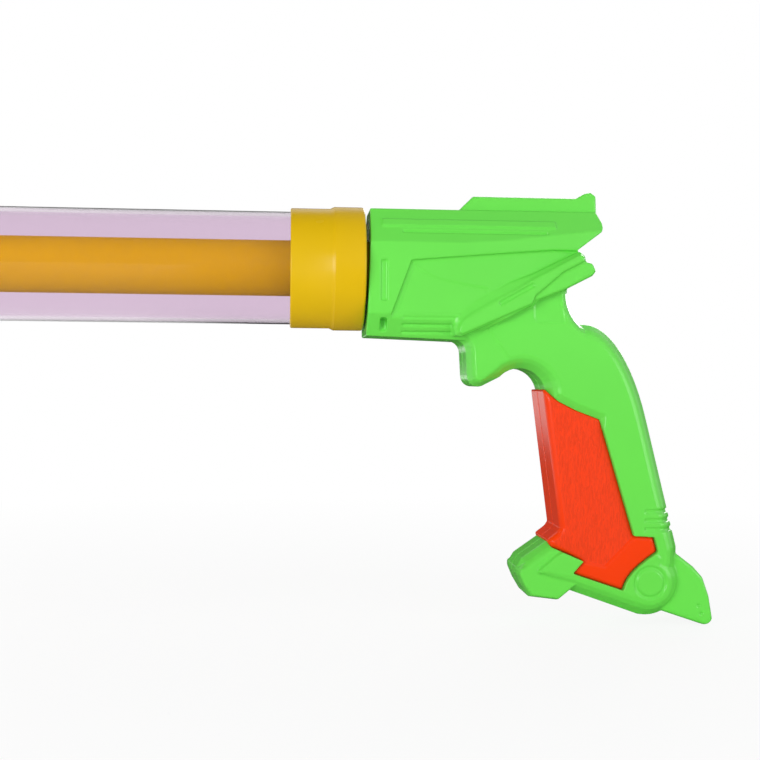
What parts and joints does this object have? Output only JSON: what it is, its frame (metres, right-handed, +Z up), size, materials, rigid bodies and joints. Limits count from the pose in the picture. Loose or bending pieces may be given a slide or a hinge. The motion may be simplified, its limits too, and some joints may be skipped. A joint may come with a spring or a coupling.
{
  "type": "water squirter",
  "caption": "Pull-and-push water squirter: a clear barrel with a nozzle cap, a sealed piston on a round rod, and a moulded pistol-grip handle clamped on the rod's end.",
  "frame": {"origin": "centre of the nozzle's mouth, on the barrel axis", "axes": "+X along the barrel from the nozzle to the handle, +Z up, with the grip hanging towards -Z, and Y across the handle's two halves"},
  "size_m": [0.4762, 0.044, 0.1547],
  "materials": {
    "clear_plastic": "clear, with a faint lilac tint",
    "yellow_plastic": "satin moulded",
    "amber_plastic": "satin extruded",
    "green_plastic": "gloss moulded",
    "orange_plastic": "gloss moulded, with a fine grain on the panels",
    "black_rubber": "matt",
    "screw_steel": "zinc plated"
  },
  "bodies": {
    "barrel": {"barrel_tube": "clear_plastic", "front_cap": "yellow_plastic", "front_gasket": "black_rubber", "rear_cap": "yellow_plastic"},
    "seal": {"piston_seal": "black_rubber"},
    "plunger": {"piston_head": "amber_plastic", "plunger_rod": "amber_plastic", "rod_tail_plug": "amber_plastic", "left_shell": "green_plastic", "right_shell": "green_plastic", "left_grip": "orange_plastic", "right_grip": "orange_plastic", "shell_screws": "screw_steel"}
  },
  "joints": [
    {"name": "plunger_slide", "type": "slide", "parent": "barrel", "child": "seal", "axis": [1, 0, 0], "range_m": [0, 0.305]},
    {"name": "handle_spin", "type": "hinge", "parent": "seal", "child": "plunger", "pos_m": [0.034, 0, 0], "axis": [1, 0, 0], "continuous": true}
  ]
}
